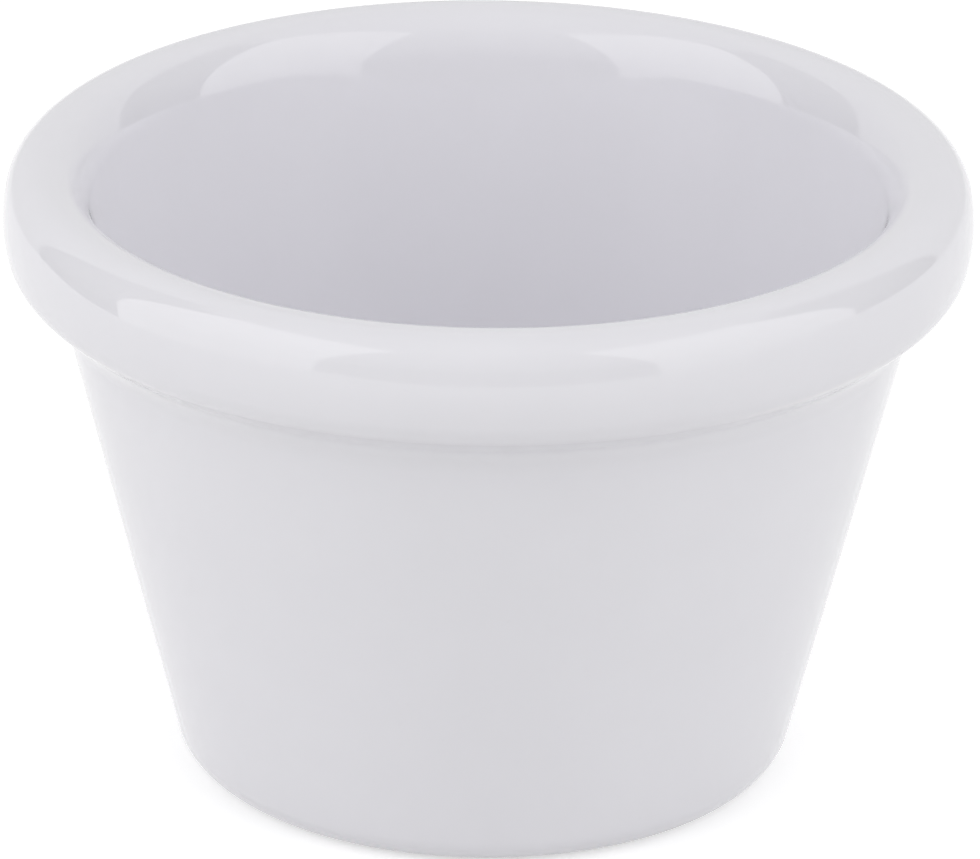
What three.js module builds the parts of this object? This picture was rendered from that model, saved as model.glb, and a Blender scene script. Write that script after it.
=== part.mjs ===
// Dip bowl: a small round ramekin, pressed in one piece from white melamine.
// Millimetres, +Z up. The origin is at the centre of the foot, on the surface that the bowl stands on.
import * as THREE from 'three';

// Driving dimensions: the whole bowl
const RIM_DIAMETER = 58; // across the widest line of the rolled rim
const HEIGHT = 38; // from the table to the crest of the rim
const WALL_THICKNESS = 3.15; // square to the outside of the wall, below the lip
const WALL_TAPER = 14; // degrees from upright, outside
const INSIDE_TAPER = 13; // degrees from upright, inside
const FLOOR_THICKNESS = 3.2; // at the middle of the bowl
const FLOOR_FILLET = 5.5; // radius of the inside corner between floor and wall

// Driving dimensions: the rolled rim, a rounded band that stands proud of the wall
const CREST_INNER_RADIUS = 2.35; // from the crest in to the lip
const LIP_RADIUS = 4.2; // from there down to the inside wall
const LIP_FACING = 135; // degrees, which way the surface faces where the lip begins
const CREST_OUTER_RADIUS = 2.25; // from the crest out to the side of the band
const BAND_HEIGHT = 3.4; // the gently crowned side of the band
const BAND_CROWN_RADIUS = 7.6; // how round that side is
const BAND_EDGE_RADIUS = 2.5; // the lower edge of the band
const UNDERSIDE_SLOPE = 36; // degrees, from the neck up to the lower edge of the band
const NECK_FILLET = 4; // where the underside of the band meets the wall

// Driving dimensions: the foot
const BASE_EDGE_RADIUS = 2.4; // the round outer edge at the foot of the wall
const FOOT_RING_WIDTH = 2.4; // the flat ring that touches the table
const FOOT_RECESS = 0.8; // how far the middle of the underside is raised
const RECESS_SLOPE = 45; // degrees, the side of that recess
const RECESS_FILLET = 0.5; // both edges of that side

// Fineness of the facets
const ROUND_SEGMENTS = 72; // around the bowl
const ARC_STEP = 15; // degrees, along the rounded parts of its section

// Finish: glossy white melamine
const MELAMINE = { color: 0xf2f1f6, roughness: 0.05, metalness: 0 };

// The section is drawn in a half plane: x is the radius from the axis, y is the height.
const point = (radius, height) => new THREE.Vector2(radius, height);
const radians = THREE.MathUtils.degToRad;
const heading = (degrees) => point(Math.cos(radians(degrees)), Math.sin(radians(degrees)));
const along = (start, direction, length) => start.clone().addScaledVector(direction, length);

// Points on an arc, both ends included. Angles are degrees, 0 away from the axis and 90 up.
function arc(centre, radius, from, to) {
  const steps = Math.ceil(Math.abs(to - from) / ARC_STEP);
  const angles = Array.from({ length: steps + 1 }, (_, i) => from + ((to - from) * i) / steps);
  return angles.map((angle) => along(centre, heading(angle), radius));
}

// A corner of the section, rounded by an arc that is tangent to both of its sides.
function roundedCorner(before, corner, after, radius) {
  const back = before.clone().sub(corner).normalize();
  const on = after.clone().sub(corner).normalize();
  const halfOpening = Math.acos(back.dot(on)) / 2;
  const bisector = back.clone().add(on).normalize();
  const centre = along(corner, bisector, radius / Math.sin(halfOpening));
  const middle = THREE.MathUtils.radToDeg(bisector.clone().negate().angle());
  const halfSweep = 90 - THREE.MathUtils.radToDeg(halfOpening);
  const turn = Math.sign(on.cross(back));
  return arc(centre, radius, middle - turn * halfSweep, middle + turn * halfSweep);
}

// The rolled rim. Its arcs are tangent where they meet, so each centre follows from the one before.
const bandLean = THREE.MathUtils.radToDeg(Math.asin(BAND_HEIGHT / 2 / BAND_CROWN_RADIUS));
const crestToBand = CREST_OUTER_RADIUS * (1 - Math.sin(radians(bandLean)));
const widestHeight = HEIGHT - crestToBand - BAND_HEIGHT / 2;
const crownCentre = point(RIM_DIAMETER / 2 - BAND_CROWN_RADIUS, widestHeight);
const crestCentre = along(crownCentre, heading(bandLean), BAND_CROWN_RADIUS - CREST_OUTER_RADIUS);
const edgeCentre = along(crownCentre, heading(-bandLean), BAND_CROWN_RADIUS - BAND_EDGE_RADIUS);
const innerCrestCentre = point(crestCentre.x, HEIGHT - CREST_INNER_RADIUS);
const undersideFacing = UNDERSIDE_SLOPE - 90;
const insideFacing = 180 - INSIDE_TAPER;
const lipCentre = along(innerCrestCentre, heading(LIP_FACING), CREST_INNER_RADIUS - LIP_RADIUS);

// The wall. Its inside runs on from the lip, and its outside starts one thickness away and leans a little more.
const innerTop = along(lipCentre, heading(insideFacing), LIP_RADIUS);
const outerTop = point(innerTop.x + WALL_THICKNESS / Math.cos(radians(WALL_TAPER)), innerTop.y);
const taper = Math.tan(radians(WALL_TAPER));
const insideTaper = Math.tan(radians(INSIDE_TAPER));
const insideRadius = (height) => innerTop.x - (innerTop.y - height) * insideTaper;
const outsideRadius = (height) => outerTop.x - (outerTop.y - height) * taper;

// The neck, where the sloping underside of the band runs into the wall.
const bandEnd = along(edgeCentre, heading(undersideFacing), BAND_EDGE_RADIUS);
const overhang = bandEnd.x - outsideRadius(bandEnd.y);
const inwards = heading(UNDERSIDE_SLOPE).negate();
const neck = along(bandEnd, inwards, overhang / (inwards.y * taper - inwards.x));

// The foot: the wall's round edge, the flat ring, and the raised middle.
const baseCorner = point(outsideRadius(0), 0);
const ringOuter = baseCorner.x - BASE_EDGE_RADIUS * Math.tan(radians((90 - WALL_TAPER) / 2));
const ringInner = point(ringOuter - FOOT_RING_WIDTH - RECESS_FILLET * Math.tan(radians(RECESS_SLOPE / 2)), 0);
const recessCorner = point(ringInner.x - FOOT_RECESS / Math.tan(radians(RECESS_SLOPE)), FOOT_RECESS);
const underCentre = point(0, FOOT_RECESS);

// The floor inside the bowl.
const floorHeight = FOOT_RECESS + FLOOR_THICKNESS;
const floorCorner = point(insideRadius(floorHeight), floorHeight);
const floorCentre = point(0, floorHeight);

// The whole section, from the middle of the underside, up the outside, over the rim and down to the floor.
const section = [
  underCentre,
  ...roundedCorner(underCentre, recessCorner, ringInner, RECESS_FILLET),
  ...roundedCorner(recessCorner, ringInner, baseCorner, RECESS_FILLET),
  ...roundedCorner(ringInner, baseCorner, neck, BASE_EDGE_RADIUS),
  ...roundedCorner(baseCorner, neck, bandEnd, NECK_FILLET),
  ...arc(edgeCentre, BAND_EDGE_RADIUS, undersideFacing, -bandLean),
  ...arc(crownCentre, BAND_CROWN_RADIUS, -bandLean, bandLean).slice(1, -1),
  ...arc(crestCentre, CREST_OUTER_RADIUS, bandLean, 90),
  ...arc(innerCrestCentre, CREST_INNER_RADIUS, 90, LIP_FACING).slice(1),
  ...arc(lipCentre, LIP_RADIUS, LIP_FACING, insideFacing).slice(1),
  ...roundedCorner(innerTop, floorCorner, floorCentre, FLOOR_FILLET),
  floorCentre,
];

// The bowl is that section turned about its axis. A lathe turns about Y, so it is then stood up along Z.
const bowl = new THREE.Mesh(
  new THREE.LatheGeometry(section, ROUND_SEGMENTS).rotateX(Math.PI / 2),
  new THREE.MeshStandardMaterial(MELAMINE),
);
bowl.name = 'bowl';

const dipBowl = new THREE.Group();
dipBowl.add(bowl);

export default dipBowl;
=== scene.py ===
# %% [markdown]
# A dip bowl: a small round ramekin, pressed in one piece from white melamine.
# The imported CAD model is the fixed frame. It holds the bowl's real size and place, in metres, with +Z up
# and the origin at the centre of the foot. Everything below is built in that frame.

# %% Load the frame
import math

import bmesh
import bpy
from mathutils import Matrix, Vector


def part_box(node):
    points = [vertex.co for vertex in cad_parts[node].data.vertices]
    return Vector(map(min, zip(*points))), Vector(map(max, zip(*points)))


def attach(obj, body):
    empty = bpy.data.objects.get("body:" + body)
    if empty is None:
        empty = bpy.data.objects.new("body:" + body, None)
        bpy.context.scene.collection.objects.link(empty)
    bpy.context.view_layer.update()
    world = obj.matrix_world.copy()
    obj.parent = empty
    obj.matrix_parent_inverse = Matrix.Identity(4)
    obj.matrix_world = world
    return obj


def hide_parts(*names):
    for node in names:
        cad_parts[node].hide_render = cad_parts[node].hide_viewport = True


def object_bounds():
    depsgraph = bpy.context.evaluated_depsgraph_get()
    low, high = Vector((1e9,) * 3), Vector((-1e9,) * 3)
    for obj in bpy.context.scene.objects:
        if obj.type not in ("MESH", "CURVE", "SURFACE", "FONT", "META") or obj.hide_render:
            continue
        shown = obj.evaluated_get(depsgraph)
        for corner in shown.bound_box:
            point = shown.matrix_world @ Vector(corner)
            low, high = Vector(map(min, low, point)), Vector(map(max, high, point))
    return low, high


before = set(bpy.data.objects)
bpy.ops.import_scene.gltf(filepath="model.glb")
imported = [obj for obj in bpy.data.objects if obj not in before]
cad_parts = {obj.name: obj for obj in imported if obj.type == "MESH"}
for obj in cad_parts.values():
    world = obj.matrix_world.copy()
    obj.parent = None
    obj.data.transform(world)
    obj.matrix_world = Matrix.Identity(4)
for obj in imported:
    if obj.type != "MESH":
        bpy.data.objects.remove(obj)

cad_low, cad_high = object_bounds()
print("CAD box in mm:", [round(1000 * side, 2) for side in cad_high - cad_low])

# %% [markdown]
# The camera comes first, so that each piece can be compared with the photograph as it is made.
# It stands 18 rim radii away and looks down at 21.5 degrees. A distance and a focal length that belong
# together keep the ellipses of the rim and the foot as open as they are in the photograph. The picture
# leans a little to the right, and that small roll is given to the camera.

# %% Camera
MM = 0.001
IMAGE_WIDTH = 980
SENSOR_WIDTH = 36.0
FOCAL_LENGTH_PIXELS = 8757
CAMERA_DISTANCE = 522 * MM
CAMERA_ELEVATION = math.radians(21.52)
CAMERA_ROLL = math.radians(0.617)
AIM_POINT = Vector((0.22 * MM, 0, 20.45 * MM))

rim_centre = Vector((0, 0, cad_high.z))
camera_data = bpy.data.cameras.new("camera")
camera_data.sensor_width = SENSOR_WIDTH
camera_data.lens = SENSOR_WIDTH * FOCAL_LENGTH_PIXELS / IMAGE_WIDTH
camera = bpy.data.objects.new("camera", camera_data)
bpy.context.scene.collection.objects.link(camera)
towards_camera = Vector((0, -math.cos(CAMERA_ELEVATION), math.sin(CAMERA_ELEVATION)))
camera.location = rim_centre + CAMERA_DISTANCE * towards_camera
looking = (AIM_POINT - camera.location).to_track_quat("-Z", "Y")
camera.rotation_mode = "QUATERNION"
camera.rotation_quaternion = looking @ Matrix.Rotation(CAMERA_ROLL, 3, "Z").to_quaternion()
bpy.context.scene.camera = camera
bpy.context.scene.view_settings.view_transform = "Standard"
print("Lens in mm:", round(camera_data.lens, 1))

# %% [markdown]
# The bowl's section is half of what a saw cut through its axis would show. Its rim is a band with a gently
# crowned side, a round crest and a round lower edge. It stands proud of the tapered wall, turns into the
# inside in a wide lip and runs into the outside in a soft neck. The section could be traced as a free
# curve. Arcs that are tangent where they meet are used instead, because they keep the reflections on the rim
# smooth. The diameter and the height come from the frame.

# %% Sizes of the section
bowl_low, bowl_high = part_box("bowl")
RIM_RADIUS = (bowl_high.x - bowl_low.x) / 2
HEIGHT = bowl_high.z - bowl_low.z
WALL_THICKNESS = 3.15 * MM
WALL_TAPER = 14
INSIDE_TAPER = 13
FLOOR_THICKNESS = 3.2 * MM
FLOOR_FILLET = 5.5 * MM
CREST_INNER_RADIUS = 2.35 * MM
LIP_RADIUS = 4.2 * MM
LIP_FACING = 135
CREST_OUTER_RADIUS = 2.25 * MM
BAND_HEIGHT = 3.4 * MM
BAND_CROWN_RADIUS = 7.6 * MM
BAND_EDGE_RADIUS = 2.5 * MM
UNDERSIDE_SLOPE = 36
NECK_FILLET = 4 * MM
BASE_EDGE_RADIUS = 2.4 * MM
FOOT_RING_WIDTH = 2.4 * MM
FOOT_RECESS = 0.8 * MM
RECESS_SLOPE = 45
RECESS_FILLET = 0.5 * MM
print("Rim radius and height in mm:", round(RIM_RADIUS / MM, 2), round(HEIGHT / MM, 2))

# %% Arcs, straights and rounded corners
ARC_STEP = 2
STRAIGHT_STEP = 0.75 * MM


def heading(degrees):
    return Vector((math.cos(math.radians(degrees)), math.sin(math.radians(degrees))))


def arc(centre, radius, start, end):
    steps = math.ceil(abs(end - start) / ARC_STEP)
    angles = [start + (end - start) * i / steps for i in range(steps + 1)]
    return [centre + radius * heading(angle) for angle in angles]


def rounded_corner(before, corner, after, radius):
    back = (before - corner).normalized()
    on = (after - corner).normalized()
    half_opening = math.acos(back.dot(on)) / 2
    bisector = (back + on).normalized()
    centre = corner + bisector * radius / math.sin(half_opening)
    middle = math.degrees(math.atan2(-bisector.y, -bisector.x))
    half_sweep = 90 - math.degrees(half_opening)
    turn = math.copysign(1, on.x * back.y - on.y * back.x)
    return arc(centre, radius, middle - turn * half_sweep, middle + turn * half_sweep)


def with_straights_divided(outline):
    points = [outline[0]]
    for start, end in zip(outline, outline[1:]):
        pieces = max(1, round((end - start).length / STRAIGHT_STEP))
        points += [start.lerp(end, i / pieces) for i in range(1, pieces + 1)]
    return points


print("Steps along the section:", ARC_STEP, "degrees and", STRAIGHT_STEP / MM, "mm")

# %% The section, from the middle of the underside to the middle of the floor
band_lean = math.degrees(math.asin(BAND_HEIGHT / 2 / BAND_CROWN_RADIUS))
crest_to_band = CREST_OUTER_RADIUS * (1 - math.sin(math.radians(band_lean)))
widest_height = HEIGHT - crest_to_band - BAND_HEIGHT / 2
crown_centre = Vector((RIM_RADIUS - BAND_CROWN_RADIUS, widest_height))
crest_centre = crown_centre + (BAND_CROWN_RADIUS - CREST_OUTER_RADIUS) * heading(band_lean)
edge_centre = crown_centre + (BAND_CROWN_RADIUS - BAND_EDGE_RADIUS) * heading(-band_lean)
inner_crest_centre = Vector((crest_centre.x, HEIGHT - CREST_INNER_RADIUS))
inside_facing = 180 - INSIDE_TAPER
underside_facing = UNDERSIDE_SLOPE - 90

lip_centre = inner_crest_centre + (CREST_INNER_RADIUS - LIP_RADIUS) * heading(LIP_FACING)
inner_top = lip_centre + LIP_RADIUS * heading(inside_facing)
taper = math.tan(math.radians(WALL_TAPER))
inside_taper = math.tan(math.radians(INSIDE_TAPER))
outer_top = inner_top + Vector((WALL_THICKNESS / math.cos(math.radians(WALL_TAPER)), 0))


def inside_radius(height):
    return inner_top.x - (inner_top.y - height) * inside_taper


def outside_radius(height):
    return outer_top.x - (outer_top.y - height) * taper


band_end = edge_centre + BAND_EDGE_RADIUS * heading(underside_facing)
inwards = -heading(UNDERSIDE_SLOPE)
overhang = band_end.x - outside_radius(band_end.y)
neck = band_end + inwards * overhang / (inwards.y * taper - inwards.x)

base_corner = Vector((outside_radius(0), 0))
ring_outer = base_corner.x - BASE_EDGE_RADIUS * math.tan(math.radians((90 - WALL_TAPER) / 2))
ring_inner_edge = RECESS_FILLET * math.tan(math.radians(RECESS_SLOPE / 2))
ring_inner = Vector((ring_outer - FOOT_RING_WIDTH - ring_inner_edge, 0))
recess_run = FOOT_RECESS / math.tan(math.radians(RECESS_SLOPE))
recess_corner = Vector((ring_inner.x - recess_run, FOOT_RECESS))
under_centre = Vector((0, FOOT_RECESS))

floor_height = FOOT_RECESS + FLOOR_THICKNESS
floor_corner = Vector((inside_radius(floor_height), floor_height))
floor_centre = Vector((0, floor_height))

section = with_straights_divided([
    under_centre,
    *rounded_corner(under_centre, recess_corner, ring_inner, RECESS_FILLET),
    *rounded_corner(recess_corner, ring_inner, base_corner, RECESS_FILLET),
    *rounded_corner(ring_inner, base_corner, neck, BASE_EDGE_RADIUS),
    *rounded_corner(base_corner, neck, band_end, NECK_FILLET),
    *arc(edge_centre, BAND_EDGE_RADIUS, underside_facing, -band_lean),
    *arc(crown_centre, BAND_CROWN_RADIUS, -band_lean, band_lean)[1:-1],
    *arc(crest_centre, CREST_OUTER_RADIUS, band_lean, 90),
    *arc(inner_crest_centre, CREST_INNER_RADIUS, 90, LIP_FACING)[1:],
    *arc(lip_centre, LIP_RADIUS, LIP_FACING, inside_facing)[1:],
    *rounded_corner(inner_top, floor_corner, floor_centre, FLOOR_FILLET),
    floor_centre,
])
print("Section points:", len(section), "neck in mm:", round(neck.x / MM, 2), round(neck.y / MM, 2))

# %% [markdown]
# The bowl itself. A press closes two polished steel tools on a charge of melamine powder. Both tools are
# turned on a lathe, so every surface of the bowl is a surface of revolution. A Screw modifier on a curve
# could make it. Rings of vertices joined by quads are built here, because each ring then lies exactly on the
# section. One vertex closes the mesh where the section meets the axis.

# %% Turn the bowl
ROUND_SEGMENTS = 256
ON_AXIS = 1e-9


def turned_piece(name, outline):
    mesh = bmesh.new()
    rings = []
    for radius, height in outline:
        if radius < ON_AXIS:
            rings.append([mesh.verts.new((0, 0, height))] * ROUND_SEGMENTS)
            continue
        turns = [2 * math.pi * i / ROUND_SEGMENTS for i in range(ROUND_SEGMENTS)]
        rings.append([
            mesh.verts.new((radius * math.cos(turn), radius * math.sin(turn), height)) for turn in turns
        ])
    for lower, upper in zip(rings, rings[1:]):
        for i in range(ROUND_SEGMENTS):
            j = (i + 1) % ROUND_SEGMENTS
            corners = dict.fromkeys((lower[i], lower[j], upper[j], upper[i]))
            mesh.faces.new(list(corners)).smooth = True
    data = bpy.data.meshes.new(name)
    mesh.to_mesh(data)
    mesh.free()
    piece = bpy.data.objects.new(name, data)
    bpy.context.scene.collection.objects.link(piece)
    return piece


bowl = turned_piece("dip_bowl", section)
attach(bowl, "root")
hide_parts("bowl")
print("Bowl faces:", len(bowl.data.polygons))

# %% [markdown]
# The finish is melamine: a hard resin filled with bleached wood pulp. The powder is pressed hot against
# polished steel, so the skin is glossy and keeps a clear picture of the lights, over an even and slightly
# cool white. Painting that white by hand would need an image. Noise in millimetres gives the same thing at
# any size: the pulp lies in faint clouds a few millimetres wide, with a fine fleck here and there. One
# function turns the colours to linear light, and one adds a node. A Mix node numbers its sockets: 2 and 3
# are its two values, 6 and 7 are its two colours, and its share is 0 or goes by its name.

# %% Colours and nodes


def linear(hex_colour):
    channels = [int(hex_colour[i:i + 2], 16) / 255 for i in (1, 3, 5)]
    return [c / 12.92 if c <= 0.04045 else ((c + 0.055) / 1.055) ** 2.4 for c in channels] + [1]


def add_node(tree, kind, inputs, **settings):
    node = tree.nodes.new(kind)
    for name, setting in settings.items():
        setattr(node, name, setting)
    for socket, value in inputs.items():
        if isinstance(value, bpy.types.NodeSocket):
            tree.links.new(value, node.inputs[socket])
        else:
            node.inputs[socket].default_value = value
    return node


print("Mid grey in linear light:", round(linear("#808080")[0], 3))

# %% Pressed melamine: the pulp under the skin
MELAMINE_WHITE = "#F3F2F7"
PULP_SHADE = "#F0EFF4"
PULP_CLOUD = 6 * MM
FLECK_SPACING = 1.6 * MM
FLECK_SIZE = 0.3 * MM
FLECK_STRENGTH = 0.5
CLOUD_DETAIL = 3

melamine = bpy.data.materials.new("pressed_white_melamine")
melamine.use_nodes = True
skin = melamine.node_tree
melamine_shader = skin.nodes["Principled BSDF"]
place = add_node(skin, "ShaderNodeTexCoord", {}).outputs["Object"]
cloud = add_node(skin, "ShaderNodeTexNoise", {
    "Vector": place,
    "Scale": 1 / PULP_CLOUD,
    "Detail": CLOUD_DETAIL,
})
fleck = add_node(skin, "ShaderNodeTexVoronoi", {"Vector": place, "Scale": 1 / FLECK_SPACING})
fleck_mask = add_node(skin, "ShaderNodeMapRange", {
    "Value": fleck.outputs["Distance"],
    "From Min": FLECK_SIZE / 2 / FLECK_SPACING,
    "From Max": 0,
    "To Max": FLECK_STRENGTH,
})
shade = add_node(skin, "ShaderNodeMath", {0: cloud.outputs["Fac"], 1: fleck_mask.outputs["Result"]},
                 operation="ADD", use_clamp=True)
white = add_node(skin, "ShaderNodeMix", {
    "Factor": shade.outputs["Value"],
    6: linear(MELAMINE_WHITE),
    7: linear(PULP_SHADE),
}, data_type="RGBA")
skin.links.new(white.outputs[2], melamine_shader.inputs["Base Color"])
print("Pulp clouds in mm:", PULP_CLOUD / MM, "flecks in mm:", FLECK_SIZE / MM)

# %% [markdown]
# The gloss is not quite the same everywhere. Polished steel leaves the skin a little clearer in some places
# than in others, and the ring that stands on tables is rubbed dull by use. One roughness for the whole bowl
# would be simpler. A slow noise moves it a little instead, and the height above the table finds the ring.

# %% Pressed melamine: the gloss
MELAMINE_IOR = 1.6
GLOSS_CLEAREST = 0.03
GLOSS_DULLEST = 0.05
GLOSS_PATCH = 9 * MM
GLOSS_DETAIL = 2
NOISE_LOW = 0.3
NOISE_HIGH = 0.7
RUBBED_ROUGHNESS = 0.4
RUBBED_HEIGHT = 0.25 * MM

melamine_shader.inputs["IOR"].default_value = MELAMINE_IOR
patch = add_node(skin, "ShaderNodeTexNoise", {
    "Vector": place,
    "Scale": 1 / GLOSS_PATCH,
    "Detail": GLOSS_DETAIL,
})
gloss = add_node(skin, "ShaderNodeMapRange", {
    "Value": patch.outputs["Fac"],
    "From Min": NOISE_LOW,
    "From Max": NOISE_HIGH,
    "To Min": GLOSS_CLEAREST,
    "To Max": GLOSS_DULLEST,
})
height = add_node(skin, "ShaderNodeSeparateXYZ", {"Vector": place}).outputs["Z"]
rubbed = add_node(skin, "ShaderNodeMapRange", {
    "Value": height,
    "From Min": RUBBED_HEIGHT,
    "From Max": 0,
})
roughness = add_node(skin, "ShaderNodeMix", {
    0: rubbed.outputs["Result"],
    2: gloss.outputs["Result"],
    3: RUBBED_ROUGHNESS,
})
skin.links.new(roughness.outputs[0], melamine_shader.inputs["Roughness"])
bowl.data.materials.append(melamine)
print("Roughness from", GLOSS_CLEAREST, "to", GLOSS_DULLEST, "and", RUBBED_ROUGHNESS, "on the ring")

# %% [markdown]
# The floor is a sheet of white paper on a table. A floor without edges would be simpler, but the wall and the
# rim reflect where the sheet ends, so it has the edges that those reflections show, in metres from the bowl.
# Its own white is what the lights make of it. For the camera and for reflections it is lifted to a clean
# white, so the lift puts no light on the bowl, and the bowl's shadow stays on the paper.

# %% Paper sheet
FLOOR_LEFT = -0.2
FLOOR_RIGHT = 0.5
FLOOR_FRONT = -0.26
FLOOR_BACK = 0.6

floor_mesh = bpy.data.meshes.new("floor")
floor_corners = [
    (FLOOR_LEFT, FLOOR_FRONT, 0),
    (FLOOR_RIGHT, FLOOR_FRONT, 0),
    (FLOOR_RIGHT, FLOOR_BACK, 0),
    (FLOOR_LEFT, FLOOR_BACK, 0),
]
floor_mesh.from_pydata(floor_corners, [], [(0, 1, 2, 3)])
floor = bpy.data.objects.new("floor", floor_mesh)
bpy.context.scene.collection.objects.link(floor)
print("Paper in m:", round(FLOOR_RIGHT - FLOOR_LEFT, 2), "by", round(FLOOR_BACK - FLOOR_FRONT, 2))

# %% White paper
PAPER_WHITE = "#E0E0E0"
PAPER_ROUGHNESS = 0.9
PAPER_SHEEN = 0.1
PAPER_LIFT = 0.5

paper = bpy.data.materials.new("white_paper")
paper.use_nodes = True
sheet = paper.node_tree
floor_shader = sheet.nodes["Principled BSDF"]
floor_shader.inputs["Base Color"].default_value = linear(PAPER_WHITE)
floor_shader.inputs["Roughness"].default_value = PAPER_ROUGHNESS
floor_shader.inputs["Specular IOR Level"].default_value = PAPER_SHEEN
floor_shader.inputs["Emission Color"].default_value = linear("#FFFFFF")
ray = add_node(sheet, "ShaderNodeLightPath", {}).outputs
mirrored = add_node(sheet, "ShaderNodeMath", {0: ray["Is Glossy Ray"], 1: ray["Is Transmission Ray"]},
                    operation="MAXIMUM")
seen = add_node(sheet, "ShaderNodeMath", {0: ray["Is Camera Ray"], 1: mirrored.outputs["Value"]},
                operation="MAXIMUM")
lift = add_node(sheet, "ShaderNodeMath", {0: seen.outputs["Value"], 1: PAPER_LIFT}, operation="MULTIPLY")
sheet.links.new(lift.outputs["Value"], floor_shader.inputs["Emission Strength"])
floor_mesh.materials.append(paper)
print("Paper white and lift:", PAPER_WHITE, PAPER_LIFT)

# %% [markdown]
# Two softboxes light the bowl, one at each side of the camera. Their pictures on the rim show their outlines,
# and each corner below is read from there: how far round it is from the camera and how high, in degrees, as
# seen from the bowl. They reach from below the table's height to far above the bowl, and lean towards each
# other. A rectangular lamp can't have such leaning sides, so each softbox is one glowing sheet.

# %% Softboxes
SOFTBOX_DISTANCE = 1.0
SOFTBOXES = {
    "softbox_left": (1.55, ((-40, -12), (-27, 52.5), (-94, 57), (-92, -12))),
    "softbox_right": (1.51, ((40, -12), (27.5, 52.5), (93, 57), (91, -12))),
}


def seen_from_rim(azimuth, elevation):
    level = math.cos(math.radians(elevation))
    turn = math.radians(azimuth)
    along = Vector((level * math.sin(turn), -level * math.cos(turn), math.sin(math.radians(elevation))))
    return rim_centre + SOFTBOX_DISTANCE * along


for name, (level, corners) in SOFTBOXES.items():
    sheet_mesh = bpy.data.meshes.new(name)
    spots = [seen_from_rim(*corner) for corner in corners]
    sheet_mesh.from_pydata(spots, [], [(0, 1, 2, 3)])
    softbox = bpy.data.objects.new(name, sheet_mesh)
    bpy.context.scene.collection.objects.link(softbox)
    softbox.visible_camera = False
    glow = bpy.data.materials.new(name + "_cloth")
    glow.use_nodes = True
    glow_shader = glow.node_tree.nodes["Principled BSDF"]
    glow_shader.inputs["Base Color"].default_value = linear("#000000")
    glow_shader.inputs["Emission Color"].default_value = linear("#FFFFFF")
    glow_shader.inputs["Emission Strength"].default_value = level
    sheet_mesh.materials.append(glow)
    print(name, "level:", level)

# %% [markdown]
# The rest of the room is dimmer than the softboxes: a pale backdrop behind the bowl, a grey hood overhead, and
# the room in front. Between each softbox and the backdrop is a dark gap, and the rim mirrors those gaps as
# the narrow dark wedges near its ends. An image of a studio could stand here. The room is far away, so a few
# levels that depend only on the direction of a ray do the same. Edges are in degrees, round from the camera
# or up from the table. The room in front ends behind the softboxes.

# %% Room
ROOM_LEVEL = 0.5
ROOM_EDGE = 72.5
ROOM_FULL = 60
GAP_LEVEL = 0.18
BACKDROP_LEVEL = 0.8
BACKDROP_EDGE = 126
BACKDROP_BLUR = 0.02
HOOD_LEVEL = 0.64
HOOD_BOTTOM = 55
HOOD_BLUR = 3

world = bpy.data.worlds.new("studio")
world.use_nodes = True
room = world.node_tree
towards = add_node(room, "ShaderNodeTexCoord", {}).outputs["Generated"]
axes = add_node(room, "ShaderNodeSeparateXYZ", {"Vector": towards}).outputs
aside = add_node(room, "ShaderNodeMath", {0: axes["X"]}, operation="ABSOLUTE")
past_edge = add_node(room, "ShaderNodeMath", {
    0: aside.outputs["Value"],
    1: 1 / math.tan(math.radians(BACKDROP_EDGE)),
    2: axes["Y"],
}, operation="MULTIPLY_ADD")
behind = add_node(room, "ShaderNodeMapRange", {
    "Value": past_edge.outputs["Value"],
    "From Min": -BACKDROP_BLUR,
    "From Max": BACKDROP_BLUR,
}, interpolation_type="SMOOTHSTEP")
above = add_node(room, "ShaderNodeMapRange", {
    "Value": axes["Z"],
    "From Min": math.sin(math.radians(HOOD_BOTTOM - HOOD_BLUR)),
    "From Max": math.sin(math.radians(HOOD_BOTTOM + HOOD_BLUR)),
}, interpolation_type="SMOOTHSTEP")
ahead = add_node(room, "ShaderNodeMapRange", {
    "Value": axes["Y"],
    "From Min": -math.cos(math.radians(ROOM_EDGE)),
    "From Max": -math.cos(math.radians(ROOM_FULL)),
}, interpolation_type="SMOOTHSTEP")
dim = add_node(room, "ShaderNodeMix", {0: ahead.outputs["Result"], 2: GAP_LEVEL, 3: ROOM_LEVEL})
walls = add_node(room, "ShaderNodeMix", {0: behind.outputs["Result"], 2: dim.outputs[0], 3: BACKDROP_LEVEL})
strength = add_node(room, "ShaderNodeMix", {0: above.outputs["Result"], 2: walls.outputs[0], 3: HOOD_LEVEL})
background = room.nodes["Background"]
background.inputs["Color"].default_value = linear("#FFFFFF")
room.links.new(strength.outputs[0], background.inputs["Strength"])
bpy.context.scene.world = world
print("Levels of gap, room and backdrop:", GAP_LEVEL, ROOM_LEVEL, BACKDROP_LEVEL)
